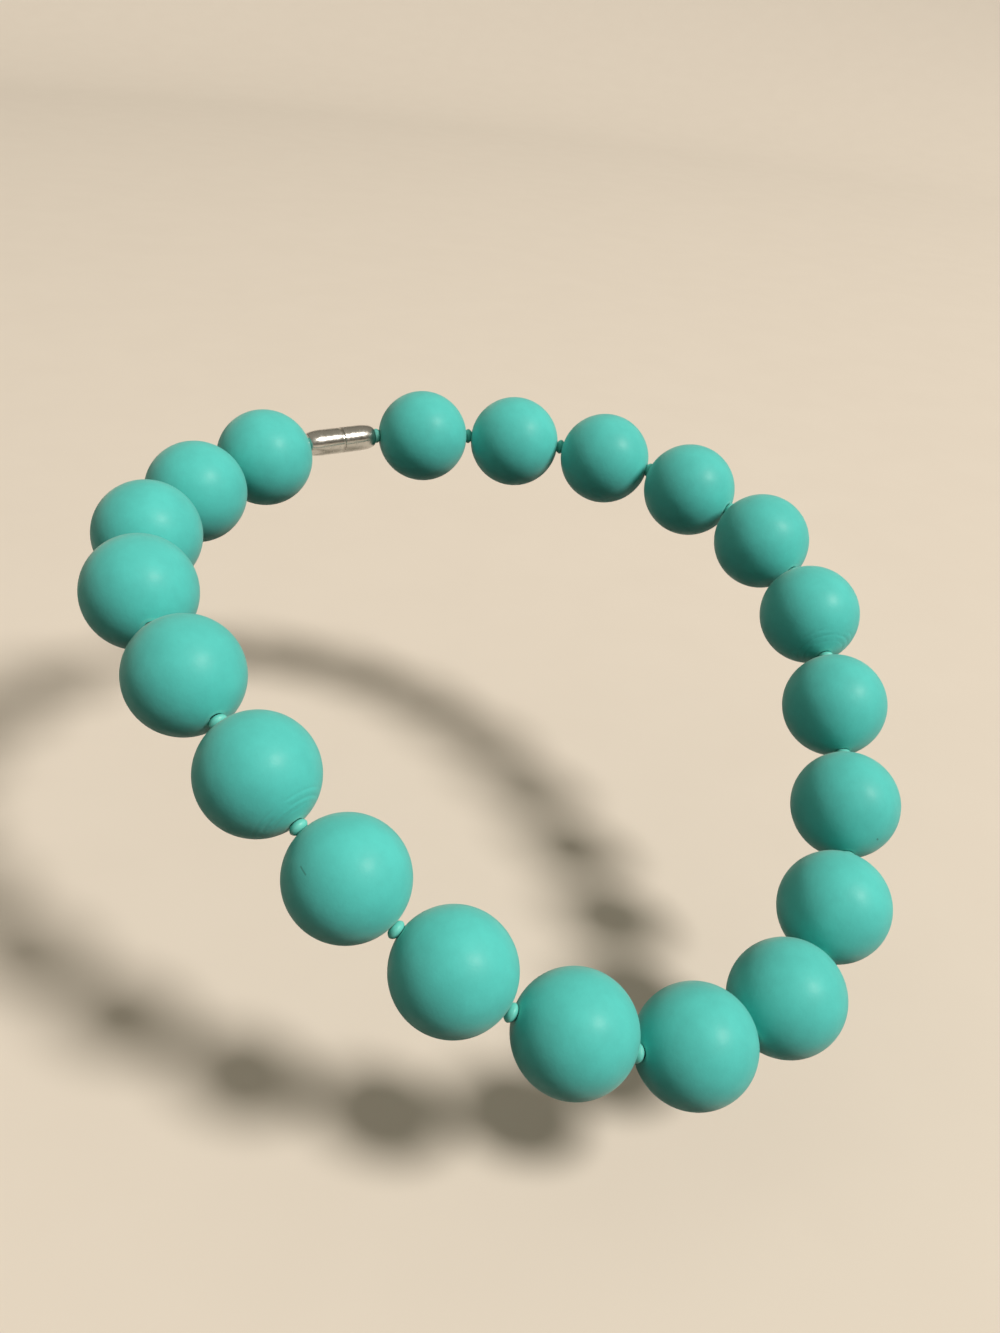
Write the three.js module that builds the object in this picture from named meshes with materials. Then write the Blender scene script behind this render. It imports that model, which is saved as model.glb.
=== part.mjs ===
// A beaded necklace: one string of large round beads with a small spacer between each two,
// closed behind the nape by a barrel clasp. Millimetres, +Z up. The front of the necklace
// faces -Y, the nape is at its +Y side, and the origin is the middle of the clasp.

import * as THREE from 'three';

// Main beads
const BEAD_COUNT = 20;
const BEAD_DIAMETER = 25;
const BEAD_SIDES = 16;
const BEAD_BANDS = 8;

// Spacer beads: one between each two main beads, and one on each side of the clasp
const SPACER_DIAMETER = 4;
const SPACER_LENGTH = 2.1;
const SPACER_SEAT = 0.15; // how far it sinks into the mouth of a main bead's hole
const SPACER_SIDES = 10;
const SPACER_BANDS = 4;

// Thread
const THREAD_DIAMETER = 0.9;
const THREAD_SIDES = 8;

// Barrel clasp: two halves that meet at a groove, with a socket for the thread in each end
const CLASP_LENGTH = 20;
const CLASP_DIAMETER = 7;
const CLASP_END_DIAMETER = 5;
const CLASP_TAPER_LENGTH = 4.5;
const CLASP_SOCKET_DEPTH = 4;
const CLASP_GROOVE_WIDTH = 0.8;
const CLASP_GROOVE_DEPTH = 0.5;
const CLASP_SIDES = 16;
const CLASP_TAPER_BANDS = 3;

// Clearances
const CLEARANCE = 0.3; // between neighbours that touch on the real necklace
const BORE_PLAY = 0.55; // round the thread in a bead's hole, where the string bends
const MOUTH_PLAY = 0.5; // round the sunk end of a spacer, where the string bends

// The line of the string as [across, back, up], from the clasp round by -X to the front and
// back by +X. It lies level behind the neck and falls to the front, and its size is then
// fitted to the length of the string.
const ROUTE = [
  [-10, 7.5, 0.5],
  [-35.5, 0, -0.5],
  [-57.5, -15.5, -2.5],
  [-74, -36.5, -1],
  [-78.5, -62.5, -5],
  [-75, -88, -13.5],
  [-69, -111.5, -25],
  [-59, -132.5, -38],
  [-44.5, -151.5, -49.5],
  [-23.5, -166, -58],
  [2.5, -172.5, -62],
  [28, -166.5, -57.5],
  [49, -152.5, -47.5],
  [64, -134, -35.5],
  [75.5, -113.5, -22],
  [84, -91, -11],
  [83.5, -65, -3.5],
  [75, -39.5, -0.5],
  [59.5, -18, 0.5],
  [38.5, -2, 0.5],
  [13, 7, 0.5],
];

// How finely the route is measured, and how often its size is bettered
const ROUTE_DIVISIONS = 4000;
const FIT_ROUNDS = 12;

// Sizes that follow from the ones above
const beadRadius = BEAD_DIAMETER / 2;
const spacerRadius = SPACER_DIAMETER / 2;
const threadRadius = THREAD_DIAMETER / 2;
const boreRadius = threadRadius + BORE_PLAY;
const spacerHalf = SPACER_LENGTH / 2;
const spacerWall = spacerRadius - boreRadius;
const sunkShare = Math.sqrt(1 - ((spacerHalf - SPACER_SEAT) / spacerHalf) ** 2);
const mouthRadius = boreRadius + spacerWall * sunkShare + MOUTH_PLAY;
const beadGap = SPACER_LENGTH - 2 * SPACER_SEAT;
const beadLink = BEAD_DIAMETER + beadGap;
const jointToClasp = spacerHalf + CLEARANCE;
const claspLink = CLASP_LENGTH + 2 * jointToClasp;
const stringLength = BEAD_COUNT * beadLink + claspLink;

const beadFinish = { color: '#58b5ab', roughness: 0.5, metalness: 0 };
const spacerFinish = { color: '#62cbc0', roughness: 0.35, metalness: 0 };
const threadFinish = { color: '#1c6b6c', roughness: 0.8, metalness: 0 };
const claspFinish = { color: '#cdccc8', roughness: 0.25, metalness: 1 };

// The route as a closed curve, `size` times as large as its points say
function routeCurve(size) {
  const points = ROUTE.map((place) => new THREE.Vector3(...place).multiplyScalar(size));
  const curve = new THREE.CatmullRomCurve3(points, true, 'centripetal');
  curve.arcLengthDivisions = ROUTE_DIVISIONS;
  return curve;
}

// How far along the curve the next place lies that is `reach` away in a straight line. The
// search goes twice that far along the curve, which bends much less than that asks for.
function stepAlong(curve, from, reach) {
  const start = curve.getPointAt(from);
  let near = from;
  let far = Math.min(from + (2 * reach) / curve.getLength(), 1);
  let middle = (near + far) / 2;
  while (near < middle && middle < far) {
    if (curve.getPointAt(middle).distanceTo(start) < reach) {
      near = middle;
    } else {
      far = middle;
    }
    middle = (near + far) / 2;
  }
  return near;
}

// The places where the string bends: one at each end of every main bead
function jointsAlong(curve) {
  const joints = [curve.getPointAt(0)];
  let along = 0;
  for (let i = 0; i < BEAD_COUNT; i += 1) {
    along = stepAlong(curve, along, beadLink);
    joints.push(curve.getPointAt(along));
  }
  return joints;
}

// The same places with the route sized so that the clasp just closes the loop, and moved so
// that the middle of the clasp is the origin
function fittedJoints() {
  let size = 1;
  let joints = [];
  for (let i = 0; i < FIT_ROUNDS; i += 1) {
    joints = jointsAlong(routeCurve(size));
    const opening = joints.at(-1).distanceTo(joints[0]);
    size *= stringLength / (stringLength + opening - claspLink);
  }
  const claspMiddle = halfway(joints.at(-1), joints[0]);
  return joints.map((joint) => joint.clone().sub(claspMiddle));
}

// A run of straight stretches, read corner by corner, so that what is extruded along it has
// one section at each corner
class CornerRun extends THREE.Curve {
  constructor(corners) {
    super();
    this.corners = corners;
  }

  getPointAt(share, target = new THREE.Vector3()) {
    const here = Math.round(share * (this.corners.length - 1));
    return target.copy(this.corners[here]);
  }

  getTangentAt(share, target = new THREE.Vector3()) {
    const last = this.corners.length - 1;
    const here = Math.round(share * last);
    target.set(0, 0, 0);
    if (here > 0) {
      target.add(direction(this.corners[here - 1], this.corners[here]));
    }
    if (here < last) {
      target.add(direction(this.corners[here], this.corners[here + 1]));
    }
    return target.normalize();
  }
}

function direction(from, to) {
  return to.clone().sub(from).normalize();
}

function halfway(from, to) {
  return from.clone().lerp(to, 0.5);
}

// Points of an elliptical arc in a turned profile. Angles are in degrees from the radius line.
function arc(centre, radial, axial, fromDegrees, toDegrees, bands) {
  const points = [];
  for (let i = 0; i <= bands; i += 1) {
    const angle = THREE.MathUtils.degToRad(
      THREE.MathUtils.lerp(fromDegrees, toDegrees, i / bands),
    );
    points.push(
      new THREE.Vector2(
        centre.x + radial * Math.cos(angle),
        centre.y + axial * Math.sin(angle),
      ),
    );
  }
  return points;
}

// A drilled body: the profile goes up the outside and closes on itself down the hole
function turnedRing(profile, sides) {
  return new THREE.LatheGeometry([...profile, profile[0].clone()], sides);
}

// A round bead with a hole through it, opened at both ends by a 45 degree mouth
function beadGeometry() {
  const mouthAngle = THREE.MathUtils.radToDeg(Math.acos(mouthRadius / beadRadius));
  const centre = new THREE.Vector2(0, 0);
  const outside = arc(centre, beadRadius, beadRadius, -mouthAngle, mouthAngle, BEAD_BANDS);
  const boreHalf = outside.at(-1).y - (mouthRadius - boreRadius);
  const hole = [
    new THREE.Vector2(boreRadius, boreHalf),
    new THREE.Vector2(boreRadius, -boreHalf),
  ];
  return turnedRing([...outside, ...hole], BEAD_SIDES);
}

// A ring-shaped seed bead, rounded all the way from its hole
function spacerGeometry() {
  const centre = new THREE.Vector2(boreRadius, 0);
  const rim = arc(centre, spacerWall, spacerHalf, -90, 90, SPACER_BANDS);
  return turnedRing(rim, SPACER_SIDES);
}

// A barrel with rounded tapers, a parting groove round its middle and a blind socket in each
// end. The profile starts and ends on the axis.
function claspGeometry() {
  const half = CLASP_LENGTH / 2;
  const radius = CLASP_DIAMETER / 2;
  const endRadius = CLASP_END_DIAMETER / 2;
  const socketRadius = threadRadius + CLEARANCE;
  const socketBottom = half - CLASP_SOCKET_DEPTH;
  const taperStart = half - CLASP_TAPER_LENGTH;
  const centre = new THREE.Vector2(endRadius, taperStart);
  const taper = arc(centre, radius - endRadius, CLASP_TAPER_LENGTH, 0, 90, CLASP_TAPER_BANDS);
  const upperHalf = [
    new THREE.Vector2(radius - CLASP_GROOVE_DEPTH, CLASP_GROOVE_WIDTH / 2),
    new THREE.Vector2(radius, CLASP_GROOVE_WIDTH / 2),
    ...taper,
    new THREE.Vector2(socketRadius, half),
    new THREE.Vector2(socketRadius, socketBottom),
    new THREE.Vector2(0, socketBottom),
  ];
  const lowerHalf = upperHalf.map((point) => new THREE.Vector2(point.x, -point.y)).reverse();
  return new THREE.LatheGeometry([...lowerHalf, ...upperHalf], CLASP_SIDES);
}

// One thread through all the joints, with each end in a socket of the clasp
function threadGeometry(joints) {
  const intoClasp = jointToClasp + CLASP_SOCKET_DEPTH - CLEARANCE;
  const alongClasp = direction(joints.at(-1), joints[0]);
  const start = joints[0].clone().addScaledVector(alongClasp, -intoClasp);
  const end = joints.at(-1).clone().addScaledVector(alongClasp, intoClasp);
  const corners = [start, ...joints, end];
  const ring = arc(new THREE.Vector2(0, 0), threadRadius, threadRadius, 0, 360, THREAD_SIDES);
  return new THREE.ExtrudeGeometry(new THREE.Shape(ring.slice(0, -1)), {
    extrudePath: new CornerRun(corners),
    steps: corners.length - 1,
  });
}

function makePiece(name, geometry, finish) {
  const mesh = new THREE.Mesh(geometry, new THREE.MeshStandardMaterial(finish));
  mesh.name = name;
  return mesh;
}

// Turned pieces have their hole along Y: this lays it along the string
function threadOn(mesh, place, along) {
  mesh.position.copy(place);
  mesh.quaternion.setFromUnitVectors(new THREE.Vector3(0, 1, 0), along);
  return mesh;
}

function numbered(name, index) {
  return `${name}_${String(index + 1).padStart(2, '0')}`;
}

// Main beads, each between two joints
function addBeads(group, joints) {
  const geometry = beadGeometry();
  for (let i = 0; i < BEAD_COUNT; i += 1) {
    const mesh = makePiece(numbered('bead', i), geometry, beadFinish);
    const middle = halfway(joints[i], joints[i + 1]);
    group.add(threadOn(mesh, middle, direction(joints[i], joints[i + 1])));
  }
}

// Spacers, one at each joint, turned halfway between the neighbours that it lies between
function addSpacers(group, joints) {
  const geometry = spacerGeometry();
  const count = joints.length;
  for (let i = 0; i < count; i += 1) {
    const before = direction(joints[(i + count - 1) % count], joints[i]);
    const after = direction(joints[i], joints[(i + 1) % count]);
    const mesh = makePiece(numbered('spacer', i), geometry, spacerFinish);
    group.add(threadOn(mesh, joints[i], before.add(after).normalize()));
  }
}

function addClasp(group, joints) {
  const mesh = makePiece('clasp', claspGeometry(), claspFinish);
  const middle = halfway(joints.at(-1), joints[0]);
  group.add(threadOn(mesh, middle, direction(joints.at(-1), joints[0])));
}

const necklace = new THREE.Group();
const joints = fittedJoints();
addBeads(necklace, joints);
addSpacers(necklace, joints);
necklace.add(makePiece('thread', threadGeometry(joints), threadFinish));
addClasp(necklace, joints);

export default necklace;
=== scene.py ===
"""Dresses a beaded necklace as worn: large round beads with small spacers on one thread.

Every piece takes its place and its main sizes from the loaded frame, in metres.
"""

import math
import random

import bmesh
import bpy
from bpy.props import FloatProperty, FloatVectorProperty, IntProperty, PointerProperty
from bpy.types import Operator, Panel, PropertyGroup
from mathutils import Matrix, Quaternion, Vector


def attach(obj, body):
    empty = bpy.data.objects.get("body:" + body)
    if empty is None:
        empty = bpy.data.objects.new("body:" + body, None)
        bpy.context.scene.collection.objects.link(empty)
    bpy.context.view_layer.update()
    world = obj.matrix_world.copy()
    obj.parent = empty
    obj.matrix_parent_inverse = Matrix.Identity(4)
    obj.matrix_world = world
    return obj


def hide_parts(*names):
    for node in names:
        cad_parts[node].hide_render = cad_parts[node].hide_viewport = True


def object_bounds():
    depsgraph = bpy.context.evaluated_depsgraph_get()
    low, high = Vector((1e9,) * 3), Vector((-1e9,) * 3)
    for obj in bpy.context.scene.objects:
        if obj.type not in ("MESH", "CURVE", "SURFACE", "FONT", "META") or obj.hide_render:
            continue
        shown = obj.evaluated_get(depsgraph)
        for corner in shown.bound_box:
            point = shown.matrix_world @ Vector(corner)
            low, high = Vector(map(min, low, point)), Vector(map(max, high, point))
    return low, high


bl_info = {
    "name": "Beaded Necklace",
    "version": (1, 0, 0),
    "blender": (4, 5, 0),
    "location": "View3D > Sidebar > Necklace",
    "description": "Dresses a string of round beads, its spacers, its thread and its clasp",
    "category": "Add Mesh",
}

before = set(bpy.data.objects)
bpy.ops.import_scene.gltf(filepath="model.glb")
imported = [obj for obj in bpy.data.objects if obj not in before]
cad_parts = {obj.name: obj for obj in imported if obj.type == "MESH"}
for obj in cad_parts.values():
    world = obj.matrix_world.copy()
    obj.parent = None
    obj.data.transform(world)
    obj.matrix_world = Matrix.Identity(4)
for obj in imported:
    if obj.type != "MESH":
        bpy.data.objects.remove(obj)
cad_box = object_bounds()

MM = 0.001
SAME = 0.01 * MM  # Lengths that differ by less are the same
BODY = "root"
BEAD_NODES = sorted(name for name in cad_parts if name.startswith("bead_"))
SPACER_NODES = sorted(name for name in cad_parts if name.startswith("spacer_"))
TONE_SEED = 20

# Sockets of a Mix node that blends colours
MIX_A = 6
MIX_B = 7
MIX_RESULT = 2

# Marks on single beads. Bearing and height say where on the bead a mark is, as seen from its
# middle: bearing 0 faces the front (-Y) and 90 the wearer's left (+X). Lean turns its long
# side from upright, and length and width are in millimetres.
MARKS = [
    {"bead": 7, "bearing": -81, "height": 35, "lean": 75, "length": 2.0, "width": 0.26,
     "depth": 0.6, "colour": "#2C6A60"},
    {"bead": 13, "bearing": -12, "height": -2, "lean": 40, "length": 0.4, "width": 0.35,
     "depth": 0.7, "colour": "#2C6A60"},
]

# Holes round which the coat has crept into faint rings: the bead, and its hole with the higher
# (1) or the lower (-1) number on the string
CREPT_HOLES = [(6, 1), (15, -1)]

# The rings, in millimetres: how far outside the edge of the hole they start and end, over what
# distance they fade in and out, and how far apart they are
RINGS_START = 2.0
RINGS_END = 7.5
RINGS_FADE_IN = 1.0
RINGS_FADE_OUT = 1.5
RING_STEP = 1.7


def linear(hex_colour):
    """An sRGB hex colour as linear red, green, blue and 1."""
    channels = [int(hex_colour[start:start + 2], 16) / 255 for start in (1, 3, 5)]
    turned = [
        value / 12.92 if value <= 0.04045 else ((value + 0.055) / 1.055) ** 2.4
        for value in channels
    ]
    return (*turned, 1.0)


def outward(azimuth, height):
    """The direction at that azimuth and height: 0 faces the front, a right angle the left."""
    return Vector((
        math.sin(azimuth) * math.cos(height),
        -math.cos(azimuth) * math.cos(height),
        math.sin(height)))


def node_corners(name):
    """The corner points of a node, each of them once."""
    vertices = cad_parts[name].data.vertices
    return [Vector(place) for place in sorted({tuple(round(c, 6) for c in v.co) for v in vertices})]


def node_middle(name):
    """The middle of a turned node, from its corner points."""
    corners = node_corners(name)
    return sum(corners, Vector()) / len(corners)


def turned_corners(name, middle, along):
    """The corner points of a turned node as (radius, height) on its own axis."""
    found = []
    for corner in node_corners(name):
        height = (corner - middle).dot(along)
        found.append(((corner - middle - along * height).length, height))
    return found


# Where the string bends: the middle of each spacer, in order along the string
JOINTS = [node_middle(name) for name in SPACER_NODES]


def bead_line(index):
    """The middle and the direction of the bead between two joints."""
    start, end = JOINTS[index], JOINTS[index + 1]
    return (start + end) / 2, (end - start).normalized()


def clasp_line():
    """The middle and the direction of the clasp, from the last joint to the first."""
    start, end = JOINTS[-1], JOINTS[0]
    return (start + end) / 2, (end - start).normalized()


def spacer_line(index):
    """The middle of a spacer, and its direction halfway between its neighbours'."""
    here = JOINTS[index]
    before = (here - JOINTS[index - 1]).normalized()
    after = (JOINTS[(index + 1) % len(JOINTS)] - here).normalized()
    return here, (before + after).normalized()


def measured(name, line):
    """Largest and smallest radius, half length and radius at the end of a turned node."""
    corners = turned_corners(name, *line)
    half = max(height for radius, height in corners)
    end_radius = max(radius for radius, height in corners if height > half - SAME)
    return {
        "radius": max(radius for radius, height in corners),
        "bore": min(radius for radius, height in corners if radius > SAME),
        "half": half,
        "end_radius": end_radius,
    }


BEAD = measured(BEAD_NODES[0], bead_line(0))
SPACER = measured(SPACER_NODES[0], spacer_line(0))
CLASP = measured("clasp", clasp_line())


class NecklaceShape(PropertyGroup):
    """How finely the pieces are made, and the small roundings that their moulds leave."""

    bead_sides: IntProperty(
        name="Bead sides", description="Faces round each main bead", default=96, min=24)
    bead_bands: IntProperty(
        name="Bead bands", description="Faces from hole to hole of a main bead", default=56, min=16)
    lip_rounding: FloatProperty(
        name="Lip rounding", description="Rounding of the edge of a bead's hole",
        default=0.12 * MM, unit="LENGTH")
    lip_coat: FloatProperty(
        name="Lip coat", description="How far the lip of a hole and its coat reach inwards",
        default=0.5 * MM, unit="LENGTH")
    spacer_sides: IntProperty(
        name="Spacer sides", description="Faces round each spacer", default=56, min=16)
    spacer_bands: IntProperty(
        name="Spacer bands", description="Faces from end to end of a spacer", default=28, min=8)
    spacer_leanness: FloatProperty(
        name="Spacer leanness",
        description="How lean a spacer's flanks are: 1 is a plain ellipse, 2 leaves them flat",
        default=1.25, min=1, max=2)
    thread_ply: IntProperty(
        name="Thread plies", description="Strands that are twisted into the thread",
        default=3, min=2)
    thread_diameter: FloatProperty(
        name="Thread diameter", description="Diameter of the twisted thread",
        default=0.9 * MM, unit="LENGTH")
    thread_pitch: FloatProperty(
        name="Thread pitch", description="Length of one full twist of the thread",
        default=3.0 * MM, unit="LENGTH")
    thread_bend: FloatProperty(
        name="Thread bend", description="How far before and after a joint the thread curves",
        default=2.5 * MM, unit="LENGTH")
    clasp_sides: IntProperty(
        name="Clasp sides", description="Faces round the barrel clasp", default=72, min=24)
    clasp_rounding: FloatProperty(
        name="Clasp rounding", description="Rounding of the clasp's turned edges",
        default=0.25 * MM, unit="LENGTH")


class NecklaceFinish(PropertyGroup):
    """Colours and finishes of the necklace's materials."""

    bead_colour: FloatVectorProperty(
        name="Bead colour", description="Rubber coat of the main beads", subtype="COLOR",
        size=4, min=0, max=1, default=linear("#57CFCA"))
    bead_roughness: FloatProperty(
        name="Bead roughness", description="Roughness of the rubber coat", subtype="FACTOR",
        min=0, max=1, default=0.58)
    tone_spread: FloatProperty(
        name="Tone spread", description="How much lighter or darker single beads are",
        subtype="FACTOR", min=0, max=0.3, default=0.045)
    spacer_colour: FloatVectorProperty(
        name="Spacer colour", description="Coat of the spacer beads", subtype="COLOR",
        size=4, min=0, max=1, default=linear("#70D3C9"))
    spacer_roughness: FloatProperty(
        name="Spacer roughness", description="Roughness of the spacers", subtype="FACTOR",
        min=0, max=1, default=0.48)
    thread_colour: FloatVectorProperty(
        name="Thread colour", description="Dyed nylon of the thread", subtype="COLOR",
        size=4, min=0, max=1, default=linear("#1C6B6C"))
    clasp_colour: FloatVectorProperty(
        name="Clasp colour", description="Plating of the clasp", subtype="COLOR",
        size=4, min=0, max=1, default=linear("#CDCCC8"))


class NecklaceStage(PropertyGroup):
    """Camera, light and floor."""

    camera_place: FloatVectorProperty(
        name="Camera place", description="Where the camera stands", subtype="TRANSLATION",
        unit="LENGTH", default=(-0.1523, -0.2805, 0.1214))
    camera_azimuth: FloatProperty(
        name="Camera azimuth", description="Which side it stands on: 0 is the front",
        subtype="ANGLE", default=math.radians(-37.8))
    camera_drop: FloatProperty(
        name="Camera drop", description="How steeply it looks down", subtype="ANGLE",
        default=math.radians(30.8))
    camera_roll: FloatProperty(
        name="Camera roll", description="How far it is turned about its line of sight",
        subtype="ANGLE", default=math.radians(-6.85))
    camera_lens: FloatProperty(
        name="Camera lens", description="Focal length on a 36 mm film, in millimetres",
        default=32.4, min=1)
    key_azimuth: FloatProperty(
        name="Key light azimuth", description="Side that the main light comes from: 0 is the front",
        subtype="ANGLE", default=math.radians(29))
    key_height: FloatProperty(
        name="Key light height", description="Height of the main light above the horizon",
        subtype="ANGLE", default=math.radians(50))
    key_distance: FloatProperty(
        name="Key light distance", description="Distance from the necklace to the main light",
        unit="LENGTH", default=8)
    key_size: FloatProperty(
        name="Key light size", description="Diameter of the main light",
        unit="LENGTH", default=2)
    key_power: FloatProperty(
        name="Key light power", description="Power of the main light in watts", default=600)
    key_colour: FloatVectorProperty(
        name="Key light colour", description="Colour of the main light", subtype="COLOR",
        default=linear("#FFF6EC")[:3])
    fill_azimuth: FloatProperty(
        name="Fill light azimuth", description="Side that the weak light comes from",
        subtype="ANGLE", default=math.radians(-105))
    fill_height: FloatProperty(
        name="Fill light height", description="Height of the weak light above the horizon",
        subtype="ANGLE", default=math.radians(25))
    fill_distance: FloatProperty(
        name="Fill light distance", description="Distance from the necklace to the weak light",
        unit="LENGTH", default=4)
    fill_size: FloatProperty(
        name="Fill light size", description="Diameter of the weak light",
        unit="LENGTH", default=2.2)
    fill_power: FloatProperty(
        name="Fill light power", description="Power of the weak light in watts", default=5.5)
    fill_colour: FloatVectorProperty(
        name="Fill light colour", description="Colour of the weak light", subtype="COLOR",
        default=linear("#FFE9CC")[:3])
    sky_colour: FloatVectorProperty(
        name="Sky colour", description="Soft light from above", subtype="COLOR", size=4,
        default=linear("#F3E9D4"))
    ground_colour: FloatVectorProperty(
        name="Ground colour", description="Soft light from the sides and below", subtype="COLOR",
        size=4, default=linear("#453E36"))
    sky_strength: FloatProperty(
        name="Sky strength", description="Strength of the soft light", default=0.38, min=0)
    floor_drop: FloatProperty(
        name="Floor drop", description="How far the floor lies below the lowest bead",
        unit="LENGTH", default=0.03)
    floor_radius: FloatProperty(
        name="Floor radius", description="Radius of the flat floor", unit="LENGTH", default=1.6)
    floor_sweep: FloatProperty(
        name="Floor sweep", description="Radius of the curve up which the floor runs at its edge",
        unit="LENGTH", default=0.9)
    floor_colour: FloatVectorProperty(
        name="Floor colour", description="Plain pale floor", subtype="COLOR", size=4,
        min=0, max=1, default=linear("#E6DFD4"))


def add_node(tree, kind, settings=None, inputs=None):
    """Adds a node. Settings are its own properties; an input takes a value or an output."""
    node = tree.nodes.new(kind)
    for key, value in (settings or {}).items():
        setattr(node, key, value)
    for key, value in (inputs or {}).items():
        if isinstance(value, bpy.types.NodeSocket):
            tree.links.new(value, node.inputs[key])
        else:
            node.inputs[key].default_value = value
    return node


def new_material(name):
    """An empty material with a Principled shader: the material, its tree and the shader."""
    material = bpy.data.materials.new(name)
    material.use_nodes = True
    tree = material.node_tree
    tree.nodes.clear()
    shader = add_node(tree, "ShaderNodeBsdfPrincipled")
    add_node(tree, "ShaderNodeOutputMaterial", {}, {"Surface": shader.outputs["BSDF"]})
    return material, tree, shader


def millimetre_places(tree):
    """The place on the object in millimetres, so that a pattern's scale is 1 over its size."""
    place = add_node(tree, "ShaderNodeTexCoord")
    scaled = add_node(
        tree, "ShaderNodeVectorMath", {"operation": "SCALE"},
        {0: place.outputs["Object"], "Scale": 1 / MM})
    return scaled.outputs[0]


def mark_ends(mark):
    """The two ends of a mark on its bead, in millimetres."""
    middle, _ = bead_line(mark["bead"] - 1)
    out = outward(math.radians(mark["bearing"]), math.radians(mark["height"]))
    side = out.cross(Vector((0, 0, 1))).normalized()
    upright = side.cross(out)
    lean = math.radians(mark["lean"])
    run = upright * math.cos(lean) + side * math.sin(lean)
    centre = (middle + out * BEAD["radius"]) / MM
    return centre - run * mark["length"] / 2, centre + run * mark["length"] / 2


def mark_mask(tree, places, mark):
    """The mark's depth along a thin line between its two ends, falling to 0 at its width."""
    start, end = mark_ends(mark)
    run = end - start
    from_start = add_node(
        tree, "ShaderNodeVectorMath", {"operation": "SUBTRACT"}, {0: places, 1: start})
    share = add_node(
        tree, "ShaderNodeVectorMath", {"operation": "DOT_PRODUCT"},
        {0: from_start.outputs[0], 1: run / run.length_squared})
    kept = add_node(tree, "ShaderNodeClamp", {}, {0: share.outputs["Value"]})
    nearest = add_node(
        tree, "ShaderNodeVectorMath", {"operation": "SCALE"}, {0: run, "Scale": kept.outputs[0]})
    away = add_node(
        tree, "ShaderNodeVectorMath", {"operation": "DISTANCE"},
        {0: from_start.outputs[0], 1: nearest.outputs[0]})
    mask = add_node(
        tree, "ShaderNodeMapRange", {"interpolation_type": "SMOOTHSTEP"},
        {0: away.outputs["Value"], 1: 0, 2: mark["width"], 3: mark["depth"], 4: 0})
    return mask.outputs[0]


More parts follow.
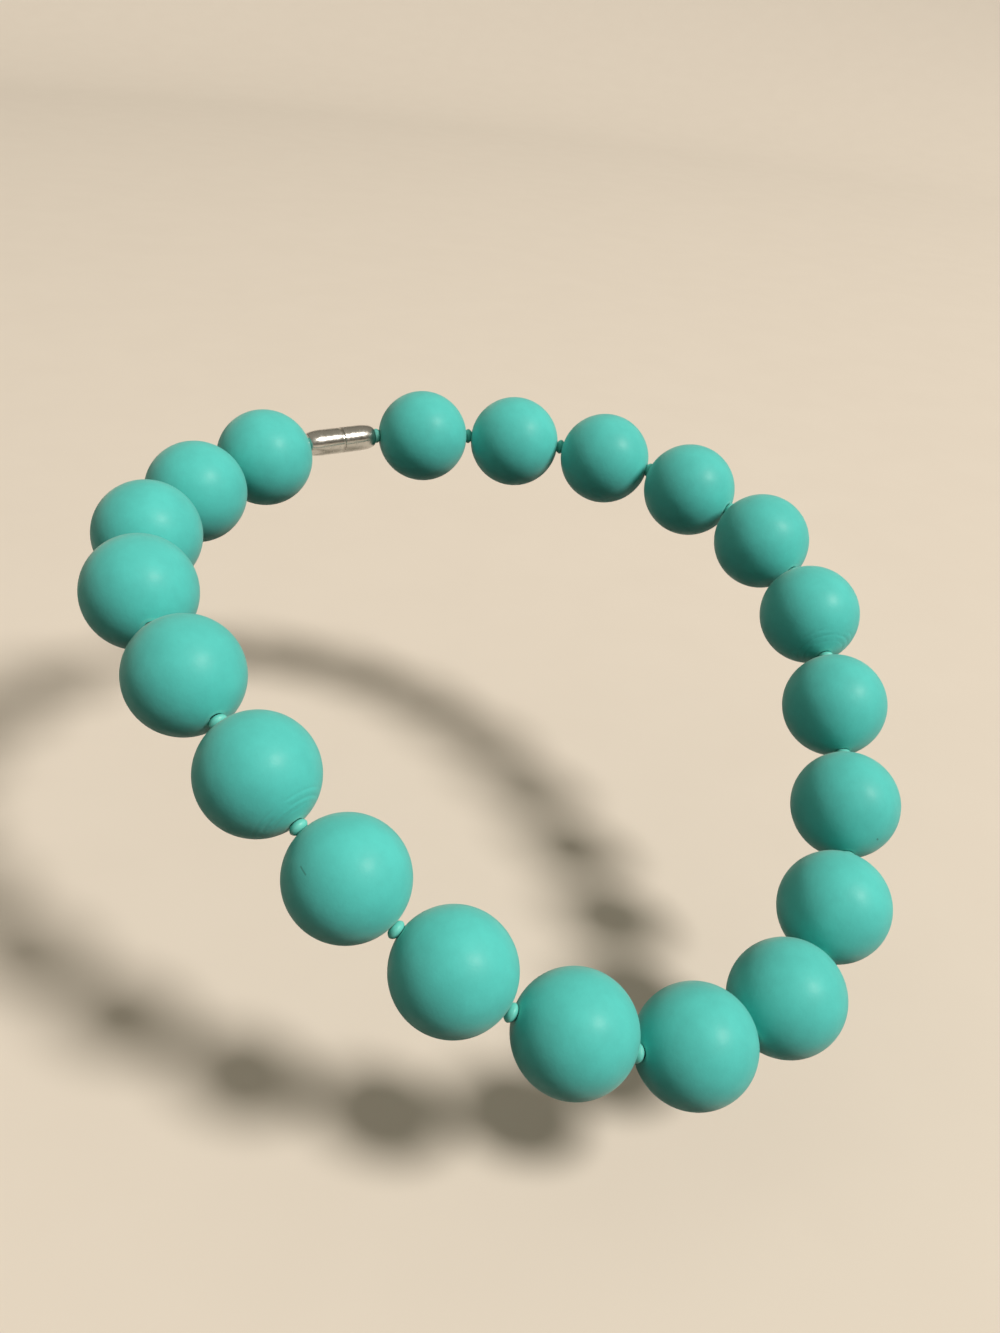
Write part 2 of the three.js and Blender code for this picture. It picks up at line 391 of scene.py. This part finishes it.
def rubber_coated_acrylic(finish):
    """Moulded acrylic, sprayed with a soft rubber coat.

    The coat spreads the light, so the highlight is broad and weak and the colour stays full
    right up to it. Spraying leaves a fine grain that breaks the highlight up, and the coat
    rubs thin at the edge of the holes.
    """
    material, tree, shader = new_material("rubber_coated_acrylic")
    places = millimetre_places(tree)
    tone = add_node(tree, "ShaderNodeAttribute", {"attribute_name": "tone"})
    lip = add_node(tree, "ShaderNodeAttribute", {"attribute_name": "from_lip"})

    # Pigment clouds from 6 mm down to 0.2 mm across, and the tone of the single bead
    clouds = add_node(
        tree, "ShaderNodeTexNoise", {},
        {"Vector": places, "Scale": 1 / 6, "Detail": 5, "Roughness": 0.65})
    lightness = add_node(
        tree, "ShaderNodeMapRange", {},
        {0: clouds.outputs[0], 1: 0.35, 2: 0.65,
         3: 1 - finish.tone_spread, 4: 1 + finish.tone_spread})
    toned = add_node(
        tree, "ShaderNodeMath", {"operation": "MULTIPLY"},
        {0: lightness.outputs[0], 1: tone.outputs["Fac"]})
    coat = add_node(
        tree, "ShaderNodeHueSaturation", {},
        {"Color": finish.bead_colour, "Value": toned.outputs[0]})

    # The coat is thin and a little paler in the first half millimetre outside the hole
    speckle = add_node(
        tree, "ShaderNodeTexNoise", {}, {"Vector": places, "Scale": 1 / 0.6, "Detail": 2})
    thin = add_node(
        tree, "ShaderNodeMapRange", {"interpolation_type": "SMOOTHSTEP"},
        {0: lip.outputs["Fac"], 1: 0, 2: 0.5, 3: 0.8, 4: 0})
    rubbed = add_node(
        tree, "ShaderNodeMath", {"operation": "MULTIPLY"},
        {0: thin.outputs[0], 1: speckle.outputs[0]})
    colour = add_node(
        tree, "ShaderNodeMix", {"data_type": "RGBA"},
        {0: rubbed.outputs[0], MIX_A: coat.outputs[0], MIX_B: linear("#8ADBD0")})

    # Rings in the coat round some holes, broken along their run, with painted shade in their
    # furrows
    crept = add_node(tree, "ShaderNodeAttribute", {"attribute_name": "crept"})
    turns = add_node(
        tree, "ShaderNodeMath", {"operation": "MULTIPLY"},
        {0: lip.outputs["Fac"], 1: 2 * math.pi / RING_STEP})
    rings = add_node(tree, "ShaderNodeMath", {"operation": "SINE"}, {0: turns.outputs[0]})
    gaps = add_node(
        tree, "ShaderNodeTexNoise", {}, {"Vector": places, "Scale": 1 / 3, "Detail": 1})
    broken = add_node(
        tree, "ShaderNodeMapRange", {"interpolation_type": "SMOOTHSTEP"},
        {0: gaps.outputs[0], 1: 0.36, 2: 0.54, 3: 0, 4: 1})
    strength = add_node(
        tree, "ShaderNodeMath", {"operation": "MULTIPLY"},
        {0: crept.outputs["Fac"], 1: broken.outputs[0]})
    ridges = add_node(
        tree, "ShaderNodeMath", {"operation": "MULTIPLY"},
        {0: rings.outputs[0], 1: strength.outputs[0]})
    # Painted shade: the furrows between the rings are painted darker, on top of their bump
    furrow_shade = add_node(
        tree, "ShaderNodeMapRange", {}, {0: ridges.outputs[0], 1: -1, 2: -0.3, 3: 0.13, 4: 0})
    colour = add_node(
        tree, "ShaderNodeMix", {"data_type": "RGBA"},
        {0: furrow_shade.outputs[0], MIX_A: colour.outputs[MIX_RESULT], MIX_B: linear("#2C6A60")})

    # Hairline and speck on single beads
    for mark in MARKS:
        colour = add_node(
            tree, "ShaderNodeMix", {"data_type": "RGBA"},
            {0: mark_mask(tree, places, mark), MIX_A: colour.outputs[MIX_RESULT],
             MIX_B: linear(mark["colour"])})
    tree.links.new(colour.outputs[MIX_RESULT], shader.inputs["Base Color"])

    # Handling polishes the coat in patches about 4 mm across
    patches = add_node(
        tree, "ShaderNodeTexNoise", {}, {"Vector": places, "Scale": 1 / 4, "Detail": 2})
    polish = add_node(
        tree, "ShaderNodeMapRange", {},
        {0: patches.outputs[0], 1: 0.3, 2: 0.7,
         3: finish.bead_roughness * 0.84, 4: finish.bead_roughness * 1.16})
    tree.links.new(polish.outputs[0], shader.inputs["Roughness"])

    # Spray grain is 0.15 mm on such a coat; it is drawn at 0.5 mm, the finest that shows
    spray = add_node(
        tree, "ShaderNodeTexNoise", {}, {"Vector": places, "Scale": 1 / 0.5, "Detail": 2})
    fine = add_node(
        tree, "ShaderNodeBump", {}, {"Distance": 0.018 * MM, "Height": spray.outputs[0]})
    waves = add_node(
        tree, "ShaderNodeTexNoise", {}, {"Vector": places, "Scale": 1 / 3.5, "Detail": 2})
    uneven = add_node(
        tree, "ShaderNodeBump", {},
        {"Distance": 0.06 * MM, "Height": waves.outputs[0], "Normal": fine.outputs[0]})
    ringed = add_node(
        tree, "ShaderNodeBump", {},
        {"Distance": 0.03 * MM, "Height": ridges.outputs[0], "Normal": uneven.outputs[0]})
    tree.links.new(ringed.outputs[0], shader.inputs["Normal"])
    tree.links.new(ringed.outputs[0], shader.inputs["Coat Normal"])
    shader.inputs["IOR"].default_value = 1.49
    shader.inputs["Specular IOR Level"].default_value = 0.15
    shader.inputs["Coat Weight"].default_value = 0.12
    shader.inputs["Coat Roughness"].default_value = 0.33
    shader.inputs["Sheen Weight"].default_value = 0.2
    shader.inputs["Sheen Roughness"].default_value = 0.5
    shader.inputs["Sheen Tint"].default_value = linear("#FFEFDC")
    return material


def satin_seed_glass(finish):
    """Opaque turquoise seed glass, tumbled to a satin.

    It takes a tighter highlight than the rubber-coated beads.
    """
    material, tree, shader = new_material("satin_seed_glass")
    places = millimetre_places(tree)
    tone = add_node(tree, "ShaderNodeAttribute", {"attribute_name": "tone"})
    streaks = add_node(
        tree, "ShaderNodeTexNoise", {}, {"Vector": places, "Scale": 1 / 0.8, "Detail": 2})
    lightness = add_node(
        tree, "ShaderNodeMapRange", {}, {0: streaks.outputs[0], 1: 0.35, 2: 0.65, 3: 0.96, 4: 1.04})
    toned = add_node(
        tree, "ShaderNodeMath", {"operation": "MULTIPLY"},
        {0: lightness.outputs[0], 1: tone.outputs["Fac"]})
    glass = add_node(
        tree, "ShaderNodeHueSaturation", {},
        {"Color": finish.spacer_colour, "Value": toned.outputs[0]})
    tree.links.new(glass.outputs[0], shader.inputs["Base Color"])
    patches = add_node(
        tree, "ShaderNodeTexNoise", {}, {"Vector": places, "Scale": 1 / 1.2, "Detail": 2})
    polish = add_node(
        tree, "ShaderNodeMapRange", {},
        {0: patches.outputs[0], 1: 0.3, 2: 0.7,
         3: finish.spacer_roughness * 0.8, 4: finish.spacer_roughness * 1.2})
    tree.links.new(polish.outputs[0], shader.inputs["Roughness"])
    pits = add_node(
        tree, "ShaderNodeTexNoise", {}, {"Vector": places, "Scale": 1 / 0.4, "Detail": 2})
    tumbled = add_node(
        tree, "ShaderNodeBump", {}, {"Distance": 0.004 * MM, "Height": pits.outputs[0]})
    tree.links.new(tumbled.outputs[0], shader.inputs["Normal"])
    shader.inputs["IOR"].default_value = 1.52
    return material


def twisted_nylon(finish):
    """Dyed nylon filament, twisted: a soft gloss along each ply, with painted shade in the grooves.
    """
    material, tree, shader = new_material("twisted_nylon")
    places = millimetre_places(tree)
    groove = add_node(tree, "ShaderNodeAttribute", {"attribute_name": "groove"})
    # Painted shade: the colour darkens towards near black in the grooves between the plies
    dark = add_node(
        tree, "ShaderNodeMath", {"operation": "MULTIPLY"}, {0: groove.outputs["Fac"], 1: 0.6})
    colour = add_node(
        tree, "ShaderNodeMix", {"data_type": "RGBA"},
        {0: dark.outputs[0], MIX_A: finish.thread_colour, MIX_B: linear("#06282A")})
    tree.links.new(colour.outputs[MIX_RESULT], shader.inputs["Base Color"])
    hairs = add_node(
        tree, "ShaderNodeTexNoise", {}, {"Vector": places, "Scale": 1 / 0.12, "Detail": 2})
    filaments = add_node(
        tree, "ShaderNodeBump", {}, {"Distance": 0.02 * MM, "Height": hairs.outputs[0]})
    tree.links.new(filaments.outputs[0], shader.inputs["Normal"])
    shader.inputs["Roughness"].default_value = 0.55
    shader.inputs["IOR"].default_value = 1.53
    shader.inputs["Sheen Weight"].default_value = 0.2
    return material


def rhodium_plated_brass(finish):
    """Turned brass, polished and rhodium plated.

    A bright, slightly warm grey metal with a clear reflection, in which the lathe's fine
    lines run round the barrel.
    """
    material, tree, shader = new_material("rhodium_plated_brass")
    places = millimetre_places(tree)
    height = add_node(tree, "ShaderNodeAttribute", {"attribute_name": "height"})
    stains = add_node(
        tree, "ShaderNodeTexNoise", {}, {"Vector": places, "Scale": 1 / 3, "Detail": 2})
    tint = add_node(
        tree, "ShaderNodeMapRange", {}, {0: stains.outputs[0], 1: 0.35, 2: 0.65, 3: 0, 4: 0.12})
    colour = add_node(
        tree, "ShaderNodeMix", {"data_type": "RGBA"},
        {0: tint.outputs[0], MIX_A: finish.clasp_colour, MIX_B: linear("#A9A59C")})
    tree.links.new(colour.outputs[MIX_RESULT], shader.inputs["Base Color"])
    handling = add_node(
        tree, "ShaderNodeTexNoise", {}, {"Vector": places, "Scale": 1 / 1.5, "Detail": 2})
    polish = add_node(
        tree, "ShaderNodeMapRange", {}, {0: handling.outputs[0], 1: 0.3, 2: 0.7, 3: 0.16, 4: 0.3})
    tree.links.new(polish.outputs[0], shader.inputs["Roughness"])
    # The lathe's lines are 0.05 mm apart; they are drawn at 0.2 mm, so that they show
    lines = add_node(
        tree, "ShaderNodeTexNoise", {"noise_dimensions": "1D"},
        {"W": height.outputs["Fac"], "Scale": 1 / 0.2, "Detail": 2})
    turned = add_node(
        tree, "ShaderNodeBump", {}, {"Distance": 0.004 * MM, "Height": lines.outputs[0]})
    tree.links.new(turned.outputs[0], shader.inputs["Normal"])
    shader.inputs["Metallic"].default_value = 1
    return material


def plain_pale_paper(stage):
    """Matt backdrop paper: no gloss, so that only the soft shadow shows on it."""
    material, tree, shader = new_material("pale_backdrop_paper")
    places = millimetre_places(tree)
    pulp = add_node(
        tree, "ShaderNodeTexNoise", {}, {"Vector": places, "Scale": 1 / 30, "Detail": 2})
    fibres = add_node(
        tree, "ShaderNodeMapRange", {}, {0: pulp.outputs[0], 1: 0.3, 2: 0.7, 3: 0, 4: 0.06})
    colour = add_node(
        tree, "ShaderNodeMix", {"data_type": "RGBA"},
        {0: fibres.outputs[0], MIX_A: stage.floor_colour, MIX_B: linear("#CFC6BA")})
    tree.links.new(colour.outputs[MIX_RESULT], shader.inputs["Base Color"])
    shader.inputs["Roughness"].default_value = 0.95
    shader.inputs["Specular IOR Level"].default_value = 0.1
    return material


def arc(centre, radial, axial, start, end, steps):
    """Points of an elliptical arc in a turned outline, as (radius, height)."""
    points = []
    for step in range(steps + 1):
        angle = start + (end - start) * step / steps
        across = centre[0] + radial * math.cos(angle)
        points.append(Vector((across, centre[1] + axial * math.sin(angle))))
    return points


def soft_corner(before, corner, after, reach, steps=4):
    """A corner of an outline, rounded over the given reach to both sides."""
    start = corner + (before - corner).normalized() * reach
    end = corner + (after - corner).normalized() * reach
    points = []
    for step in range(steps + 1):
        share = step / steps
        points.append(start.lerp(corner, share).lerp(corner.lerp(end, share), share))
    return points


def turned_mesh(name, outline, sides, middle, along, values):
    """A body turned round the line through `middle`, from its closed outline.

    `values` names point values and works each out from (radius, height).
    """
    bm = bmesh.new()
    layers = {key: bm.verts.layers.float.new(key) for key in values}
    turn = along.to_track_quat("Z", "Y").to_matrix()
    rings = []
    for radius, height in outline:
        ring = []
        for side in range(sides):
            angle = 2 * math.pi * side / sides
            spoke = Vector((radius * math.cos(angle), radius * math.sin(angle), height))
            vertex = bm.verts.new(middle + turn @ spoke)
            for key, work_out in values.items():
                vertex[layers[key]] = work_out(radius, height)
            ring.append(vertex)
        rings.append(ring)
    for here, ring in enumerate(rings):
        following = rings[(here + 1) % len(rings)]
        for side in range(sides):
            beside = (side + 1) % sides
            bm.faces.new((ring[side], ring[beside], following[beside], following[side]))
    bmesh.ops.recalc_face_normals(bm, faces=bm.faces)
    mesh = bpy.data.meshes.new(name)
    bm.to_mesh(mesh)
    bm.free()
    mesh.shade_smooth()
    return mesh


def placed_piece(name, mesh, material, node):
    """Puts a finished mesh in the scene, where it stands for its node."""
    if not mesh.polygons:
        raise RuntimeError(f"{name} has no faces")
    piece = bpy.data.objects.new(name, mesh)
    bpy.context.scene.collection.objects.link(piece)
    mesh.materials.append(material)
    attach(piece, BODY)
    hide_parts(node)
    return piece


def bead_outline(shape):
    """Outline of a drilled round bead: its outside, its two soft lips and its hole."""
    radius, bore, mouth = BEAD["radius"], BEAD["bore"], BEAD["end_radius"] - shape.lip_coat
    lip_angle = math.acos(mouth / radius)
    outside = arc((0, 0), radius, radius, -lip_angle, lip_angle, shape.bead_bands)
    lip = outside[-1]
    throat = Vector((bore, lip.y - (mouth - bore)))
    down_hole = Vector((bore, 0))
    # The soft lip starts where the outside has come within its rounding of the edge
    shown = [point for point in outside if mouth + shape.lip_rounding < point.x]
    upper = [
        *soft_corner(shown[-1], lip, throat, shape.lip_rounding),
        *soft_corner(lip, throat, down_hole, shape.lip_rounding),
    ]
    lower = [Vector((point.x, -point.y)) for point in reversed(upper)]
    return [*shown, *upper, *lower]


def spacer_outline(shape):
    """Outline of a seed bead: a ring with lean flanks, rounded all the way from its hole."""
    wall = SPACER["radius"] - SPACER["bore"]
    outline = []
    for point in arc((0, 0), 1, 1, -math.pi / 2, math.pi / 2, shape.spacer_bands):
        across = max(point.x, 0) ** shape.spacer_leanness
        along = math.copysign(abs(point.y) ** shape.spacer_leanness, point.y)
        outline.append(Vector((SPACER["bore"] + wall * across, SPACER["half"] * along)))
    return outline


def clasp_outline(shape):
    """Upper half of the barrel's outline: parting groove, soft taper and thread socket."""
    corners = turned_corners("clasp", *clasp_line())
    half, radius = CLASP["half"], CLASP["radius"]
    end_radius, socket = CLASP["end_radius"], CLASP["bore"]
    above = sorted(height for _, height in corners if height > SAME)
    groove_half = above[0]
    groove_radius = min(
        across for across, height in corners if abs(height - groove_half) < SAME)
    taper_start = max(height for across, height in corners if across > radius - SAME)
    socket_bottom = min(
        height for across, height in corners if height > 0 and across < socket + SAME)
    taper = arc(
        (end_radius, taper_start), radius - end_radius, half - taper_start, 0, math.pi / 2, 16)
    rounding = shape.clasp_rounding
    groove_foot = Vector((groove_radius, groove_half))
    groove_edge = Vector((radius, groove_half))
    socket_edge = Vector((socket, half))
    socket_foot = Vector((socket, socket_bottom))
    upper = [
        *soft_corner(Vector((groove_radius, 0)), groove_foot, groove_edge, rounding / 2),
        *soft_corner(groove_foot, groove_edge, taper[0], rounding / 2),
        *taper,
        *soft_corner(taper[-1], socket_edge, socket_foot, rounding),
        *soft_corner(socket_edge, socket_foot, Vector((0, socket_bottom)), rounding / 2),
        Vector((rounding / 2, socket_bottom)),
    ]
    return upper


def thread_corners():
    """The thread's bends: from one socket of the clasp through every joint to the other."""
    middle, along = clasp_line()
    ends = [
        corner for corner in node_corners("thread")
        if abs((corner - middle).dot(along)) < CLASP["half"]
    ]
    reach = min(abs((corner - middle).dot(along)) for corner in ends)
    start = middle + along * reach
    end = middle - along * reach
    return [start, *JOINTS, end]


def smoothed_run(corners, bend, step):
    """Places a step apart along a run of straight stretches with its corners eased."""
    eased = [corners[0]]
    for before, corner, after in zip(corners, corners[1:], corners[2:]):
        eased.extend(soft_corner(before, corner, after, bend, 8))
    eased.append(corners[-1])
    places = []
    for start, end in zip(eased, eased[1:]):
        count = max(1, math.ceil((end - start).length / step))
        places.extend(start.lerp(end, part / count) for part in range(count))
    places.append(eased[-1])
    return places


def thread_mesh(name, shape):
    """A thread of a few plies twisted round each other along the string."""
    places = smoothed_run(thread_corners(), shape.thread_bend, shape.thread_pitch / 8)
    radius = shape.thread_diameter / 2
    points_round = shape.thread_ply * 5
    bm = bmesh.new()
    # Groove depth at each point, which the material turns into painted shade in the grooves
    groove_layer = bm.verts.layers.float.new("groove")
    normal = (places[1] - places[0]).orthogonal().normalized()
    twist = 0.0
    rings = []
    for here, place in enumerate(places):
        ahead = places[min(here + 1, len(places) - 1)]
        behind = places[max(here - 1, 0)]
        forward = (ahead - behind).normalized()
        normal = (normal - forward * normal.dot(forward)).normalized()
        side = forward.cross(normal)
        if here:
            twist += 2 * math.pi * (place - places[here - 1]).length / shape.thread_pitch
        ring = []
        for point in range(points_round):
            angle = 2 * math.pi * point / points_round
            depth = (1 - math.cos(shape.thread_ply * angle)) / 2
            reach = radius * (1 - 0.28 * depth)
            turned = angle + twist
            spoke = normal * math.cos(turned) + side * math.sin(turned)
            vertex = bm.verts.new(place + spoke * reach)
            vertex[groove_layer] = depth
            ring.append(vertex)
        rings.append(ring)
    for ring, following in zip(rings, rings[1:]):
        for point in range(points_round):
            beside = (point + 1) % points_round
            bm.faces.new((ring[point], ring[beside], following[beside], following[point]))
    bm.faces.new(rings[0])
    bm.faces.new(rings[-1])
    bmesh.ops.recalc_face_normals(bm, faces=bm.faces)
    mesh = bpy.data.meshes.new(name)
    bm.to_mesh(mesh)
    bm.free()
    mesh.shade_smooth()
    return mesh


class NECKLACE_OT_set_stage(Operator):
    """Sets up the camera, the soft light and the pale floor"""

    bl_idname = "necklace.set_stage"
    bl_label = "Set Stage"
    bl_options = {"REGISTER", "UNDO"}

    def execute(self, context):
        stage = context.scene.necklace_stage
        add_camera(context.scene, stage)
        # The key comes from the front and the wearer's left, the weak fill from the right
        add_round_light(context.scene, stage, "key")
        add_round_light(context.scene, stage, "fill")
        add_soft_light(context.scene, stage)
        add_floor(context.scene, stage)
        context.scene.view_settings.view_transform = "Standard"
        return {"FINISHED"}


def add_camera(scene, stage):
    """The camera at the viewing angle of the reference."""
    data = bpy.data.cameras.new("camera")
    data.lens = stage.camera_lens
    data.clip_start = 0.01
    camera = bpy.data.objects.new("camera", data)
    sight = -outward(stage.camera_azimuth, stage.camera_drop)
    level = sight.to_track_quat("-Z", "Y")
    camera.rotation_mode = "QUATERNION"
    camera.rotation_quaternion = level @ Quaternion((0, 0, 1), -stage.camera_roll)
    camera.location = stage.camera_place
    scene.collection.objects.link(camera)
    scene.camera = camera


def add_round_light(scene, stage, role):
    """A round light that looks at the necklace: "key" or "fill" names its settings."""
    low, high = cad_box
    middle = (low + high) / 2
    data = bpy.data.lights.new(f"{role}_light", "AREA")
    data.shape = "DISK"
    data.size = getattr(stage, f"{role}_size")
    data.energy = getattr(stage, f"{role}_power")
    data.color = getattr(stage, f"{role}_colour")
    light = bpy.data.objects.new(f"{role}_light", data)
    towards = outward(getattr(stage, f"{role}_azimuth"), getattr(stage, f"{role}_height"))
    light.location = middle + towards * getattr(stage, f"{role}_distance")
    light.rotation_mode = "QUATERNION"
    light.rotation_quaternion = (-towards).to_track_quat("-Z", "Y")
    light.visible_camera = False
    scene.collection.objects.link(light)


def add_soft_light(scene, stage):
    """Soft light all round, brighter and paler from above."""
    world = bpy.data.worlds.new("soft_light")
    world.use_nodes = True
    tree = world.node_tree
    tree.nodes.clear()
    place = add_node(tree, "ShaderNodeTexCoord")
    parts = add_node(tree, "ShaderNodeSeparateXYZ", {}, {0: place.outputs["Generated"]})
    upward = add_node(
        tree, "ShaderNodeMapRange", {"interpolation_type": "SMOOTHSTEP"},
        {0: parts.outputs["Z"], 1: -0.2, 2: 0.9, 3: 0, 4: 1})
    colour = add_node(
        tree, "ShaderNodeMix", {"data_type": "RGBA"},
        {0: upward.outputs[0], MIX_A: stage.ground_colour, MIX_B: stage.sky_colour})
    light = add_node(
        tree, "ShaderNodeBackground", {},
        {"Color": colour.outputs[MIX_RESULT], "Strength": stage.sky_strength})
    add_node(tree, "ShaderNodeOutputWorld", {}, {"Surface": light.outputs[0]})
    scene.world = world


def add_floor(scene, stage):
    """A round floor of pale paper that sweeps up at its edge, so that it runs on evenly."""
    low, high = cad_box
    middle = (low + high) / 2
    level = low.z - stage.floor_drop
    sweep = arc(
        (stage.floor_radius, stage.floor_sweep), stage.floor_sweep, stage.floor_sweep,
        -math.pi / 2, 0, 32)
    bm = bmesh.new()
    sides = 128
    centre = bm.verts.new((middle.x, middle.y, level))
    before = None
    for radius, height in sweep:
        ring = []
        for side in range(sides):
            angle = 2 * math.pi * side / sides
            ring.append(bm.verts.new((
                middle.x + radius * math.cos(angle),
                middle.y + radius * math.sin(angle),
                level + height)))
        for side in range(sides):
            beside = (side + 1) % sides
            if before is None:
                bm.faces.new((centre, ring[side], ring[beside]))
            else:
                bm.faces.new((before[side], ring[side], ring[beside], before[beside]))
        before = ring
    mesh = bpy.data.meshes.new("floor")
    bm.to_mesh(mesh)
    bm.free()
    mesh.shade_smooth()
    mesh.materials.append(plain_pale_paper(stage))
    floor = bpy.data.objects.new("floor", mesh)
    scene.collection.objects.link(floor)
    # The floor shows in the polished clasp, but it sends no soft light back up, so that the
    # undersides stay as dark as when worn
    floor.visible_diffuse = False


class NECKLACE_OT_string_beads(Operator):
    """Makes the main beads, each between its two joints"""

    bl_idname = "necklace.string_beads"
    bl_label = "String Beads"
    bl_options = {"REGISTER", "UNDO"}

    def execute(self, context):
        shape = context.scene.necklace_shape
        finish = context.scene.necklace_finish
        material = rubber_coated_acrylic(finish)
        outline = bead_outline(shape)
        draw = random.Random(TONE_SEED)
        lip_height = math.sqrt(BEAD["radius"] ** 2 - BEAD["end_radius"] ** 2)

        def from_lip(radius, height):
            """Millimetres to the edge of the nearer hole."""
            return math.hypot(radius - BEAD["end_radius"], abs(height) - lip_height) / MM

        for index, node in enumerate(BEAD_NODES):
            tone = 1 + draw.uniform(-finish.tone_spread, finish.tone_spread) / 2

            def crept(radius, height, number=index + 1):
                """How strong the rings are: 0 where the coat has not crept, and 1 at most."""
                if (number, math.copysign(1, height)) not in CREPT_HOLES:
                    return 0.0
                distance = from_lip(radius, height)
                fade_in = (distance - RINGS_START) / RINGS_FADE_IN
                fade_out = (RINGS_END - distance) / RINGS_FADE_OUT
                return max(0.0, min(fade_in, 1.0, fade_out))

            values = {
                "from_lip": from_lip,
                "tone": lambda radius, height, tone=tone: tone,
                "crept": crept,
            }
            name = f"moulded_{node}"
            mesh = turned_mesh(name, outline, shape.bead_sides, *bead_line(index), values)
            placed_piece(name, mesh, material, node)
        return {"FINISHED"}


class NECKLACE_OT_string_spacers(Operator):
    """Makes the small spacer beads, one at each joint"""

    bl_idname = "necklace.string_spacers"
    bl_label = "String Spacers"
    bl_options = {"REGISTER", "UNDO"}

    def execute(self, context):
        shape = context.scene.necklace_shape
        finish = context.scene.necklace_finish
        material = satin_seed_glass(finish)
        outline = spacer_outline(shape)
        draw = random.Random(TONE_SEED)
        for index, node in enumerate(SPACER_NODES):
            tone = 1 + draw.uniform(-finish.tone_spread, finish.tone_spread)
            values = {"tone": lambda radius, height, tone=tone: tone}
            name = node.replace("spacer", "seed_bead")
            mesh = turned_mesh(name, outline, shape.spacer_sides, *spacer_line(index), values)
            placed_piece(name, mesh, material, node)
        return {"FINISHED"}


class NECKLACE_OT_lay_thread(Operator):
    """Lays the twisted thread through every bead"""

    bl_idname = "necklace.lay_thread"
    bl_label = "Lay Thread"
    bl_options = {"REGISTER", "UNDO"}

    def execute(self, context):
        name = "twisted_thread"
        mesh = thread_mesh(name, context.scene.necklace_shape)
        placed_piece(name, mesh, twisted_nylon(context.scene.necklace_finish), "thread")
        return {"FINISHED"}


class NECKLACE_OT_fit_clasp(Operator):
    """Makes the barrel clasp that closes the string behind the nape"""

    bl_idname = "necklace.fit_clasp"
    bl_label = "Fit Clasp"
    bl_options = {"REGISTER", "UNDO"}

    def execute(self, context):
        shape = context.scene.necklace_shape
        name = "barrel_clasp"
        upper = clasp_outline(shape)
        lower = [Vector((point.x, -point.y)) for point in reversed(upper)]
        values = {"height": lambda radius, height: height / MM}
        mesh = turned_mesh(name, [*upper, *lower], shape.clasp_sides, *clasp_line(), values)
        material = rhodium_plated_brass(context.scene.necklace_finish)
        placed_piece(name, mesh, material, "clasp")
        return {"FINISHED"}


class NECKLACE_PT_sidebar(Panel):
    """Lists the necklace's pieces and the sizes and colours that they take"""

    bl_idname = "NECKLACE_PT_sidebar"
    bl_label = "Necklace"
    bl_space_type = "VIEW_3D"
    bl_region_type = "UI"
    bl_category = "Necklace"

    def draw(self, context):
        layout = self.layout
        for operator in OPERATORS:
            layout.operator(operator.bl_idname)
        for group in ("necklace_shape", "necklace_finish", "necklace_stage"):
            settings = getattr(context.scene, group)
            box = layout.box()
            for key in type(settings).__annotations__:
                box.prop(settings, key)


GROUPS = {
    "necklace_shape": NecklaceShape,
    "necklace_finish": NecklaceFinish,
    "necklace_stage": NecklaceStage,
}
OPERATORS = [
    NECKLACE_OT_set_stage,
    NECKLACE_OT_lay_thread,
    NECKLACE_OT_string_beads,
    NECKLACE_OT_string_spacers,
    NECKLACE_OT_fit_clasp,
]
CLASSES = [*GROUPS.values(), *OPERATORS, NECKLACE_PT_sidebar]


def register():
    for cls in CLASSES:
        bpy.utils.register_class(cls)
    for key, group in GROUPS.items():
        setattr(bpy.types.Scene, key, PointerProperty(type=group))


def unregister():
    for key in GROUPS:
        delattr(bpy.types.Scene, key)
    for cls in reversed(CLASSES):
        bpy.utils.unregister_class(cls)


def main():
    register()
    bpy.ops.necklace.set_stage()
    bpy.ops.necklace.lay_thread()
    bpy.ops.necklace.string_beads()
    bpy.ops.necklace.string_spacers()
    bpy.ops.necklace.fit_clasp()


if __name__ == "__main__":
    main()
